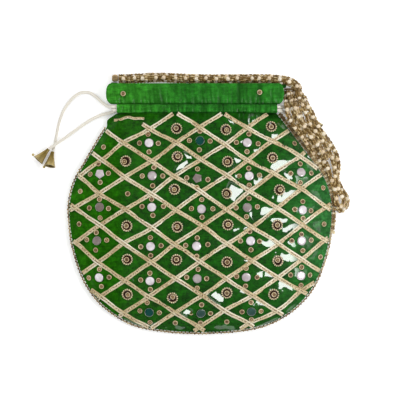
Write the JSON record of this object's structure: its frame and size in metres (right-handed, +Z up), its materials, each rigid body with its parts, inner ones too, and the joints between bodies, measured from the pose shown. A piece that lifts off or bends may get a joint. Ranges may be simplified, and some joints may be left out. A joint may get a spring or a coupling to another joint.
{
  "type": "drawstring gift pouch",
  "caption": "Flat-lying satin drawstring pouch with a gold trellis, mirror spangles, bell-ended cream drawstrings and a bead-strand handle.",
  "frame": {"origin": "the middle of the flat base the pouch lies on, midway between the sides of its seam edging and midway from the bottom edging to the top of the header", "axes": "+X to the right as the decorated front is looked at, +Y towards the mouth, +Z up out of the decorated front"},
  "size_m": [0.2819, 0.2329, 0.0222],
  "materials": {
    "green_satin": "satin",
    "green_lining": "matte",
    "gold_trim": "metallic weave",
    "gold_beads": "glossy gold",
    "bead_strand": "pearl and gold",
    "cream_cord": "satin",
    "ring_spangle": "glossy",
    "gold_metal": "polished"
  },
  "bodies": {
    "sack": {"front_panel": "green_satin", "back_panel": "green_satin", "front_lining": "green_lining", "back_lining": "green_lining", "back_channel": "green_satin", "front_channel": "green_satin", "back_header": "green_satin", "rising_strip_1": "gold_trim", "rising_strip_2": "gold_trim", "rising_strip_3": "gold_trim", "rising_strip_4": "gold_trim", "rising_strip_5": "gold_trim", "rising_strip_6": "gold_trim", "rising_strip_7": "gold_trim", "rising_strip_8": "gold_trim", "rising_strip_9": "gold_trim", "falling_strip_1": "gold_trim", "falling_strip_2": "gold_trim", "falling_strip_3": "gold_trim", "falling_strip_4": "gold_trim", "falling_strip_5": "gold_trim", "falling_strip_6": "gold_trim", "falling_strip_7": "gold_trim", "falling_strip_8": "gold_trim", "falling_strip_9": "gold_trim", "neck_strip": "gold_trim", "neck_piping": "gold_trim", "edge_beading": "gold_beads", "left_handle_tab": "green_satin", "right_handle_tab": "green_satin", "left_handle_knot": "gold_metal", "right_handle_knot": "gold_metal", "handle_strand_1_top": "bead_strand", "handle_strand_2_top": "bead_strand", "handle_strand_3_top": "bead_strand", "left_drawstring_turn": "cream_cord", "right_drawstring_turn": "cream_cord"},
    "front_header": {"front_header": "green_satin", "left_header_spangle": "ring_spangle", "right_header_spangle": "ring_spangle"},
    "handle": {"handle_strand_1_loop": "bead_strand", "handle_strand_2_loop": "bead_strand", "handle_strand_3_loop": "bead_strand"},
    "left_drawstring": {"left_drawstring_front_tail": "cream_cord", "left_drawstring_front_run": "cream_cord", "left_drawstring_back_tail": "cream_cord", "left_drawstring_back_run": "cream_cord"},
    "left_bell_1": {"left_bell_1": "gold_metal", "left_bell_1_bead": "gold_metal"},
    "left_bell_2": {"left_bell_2": "gold_metal", "left_bell_2_bead": "gold_metal"},
    "right_drawstring": {"right_drawstring_front_tail": "cream_cord", "right_drawstring_front_run": "cream_cord", "right_drawstring_back_tail": "cream_cord", "right_drawstring_back_run": "cream_cord"},
    "right_bell_1": {"right_bell_1": "gold_metal", "right_bell_1_bead": "gold_metal"},
    "right_bell_2": {"right_bell_2": "gold_metal", "right_bell_2_bead": "gold_metal"}
  },
  "joints": [
    {"name": "header_flap", "type": "hinge", "parent": "sack", "child": "front_header", "pos_m": [-0.00485, 0.0936, 0.0128], "axis": [1, 0, 0], "range_deg": [0, 50]},
    {"name": "handle_lift", "type": "hinge", "parent": "sack", "child": "handle", "pos_m": [0.0818, 0.106, 0.009], "axis": [-1, 0, 0], "range_deg": [0, 105]},
    {"name": "left_pull", "type": "slide", "parent": "sack", "child": "left_drawstring", "axis": [-1, 0, 0], "range_m": [0, 0.04]},
    {"name": "left_bell_1_swing", "type": "hinge", "parent": "left_drawstring", "child": "left_bell_1", "pos_m": [-0.1349, 0.0536, 0.0033], "axis": [0, 0, -1], "range_deg": [0, 25]},
    {"name": "left_bell_2_swing", "type": "hinge", "parent": "left_drawstring", "child": "left_bell_2", "pos_m": [-0.1314, 0.0515, 0.0018], "axis": [0, 0, 1], "range_deg": [0, 25]},
    {"name": "right_pull", "type": "slide", "parent": "sack", "child": "right_drawstring", "axis": [1, 0, 0], "range_m": [0, 0.04]},
    {"name": "right_bell_1_swing", "type": "hinge", "parent": "right_drawstring", "child": "right_bell_1", "pos_m": [0.087, 0.0759, 0.0018], "axis": [0, 0, 1], "range_deg": [0, 8]},
    {"name": "right_bell_2_swing", "type": "hinge", "parent": "right_drawstring", "child": "right_bell_2", "pos_m": [0.0969, 0.0832, 0.0018], "axis": [0, 0, 1], "range_deg": [0, 25]}
  ]
}
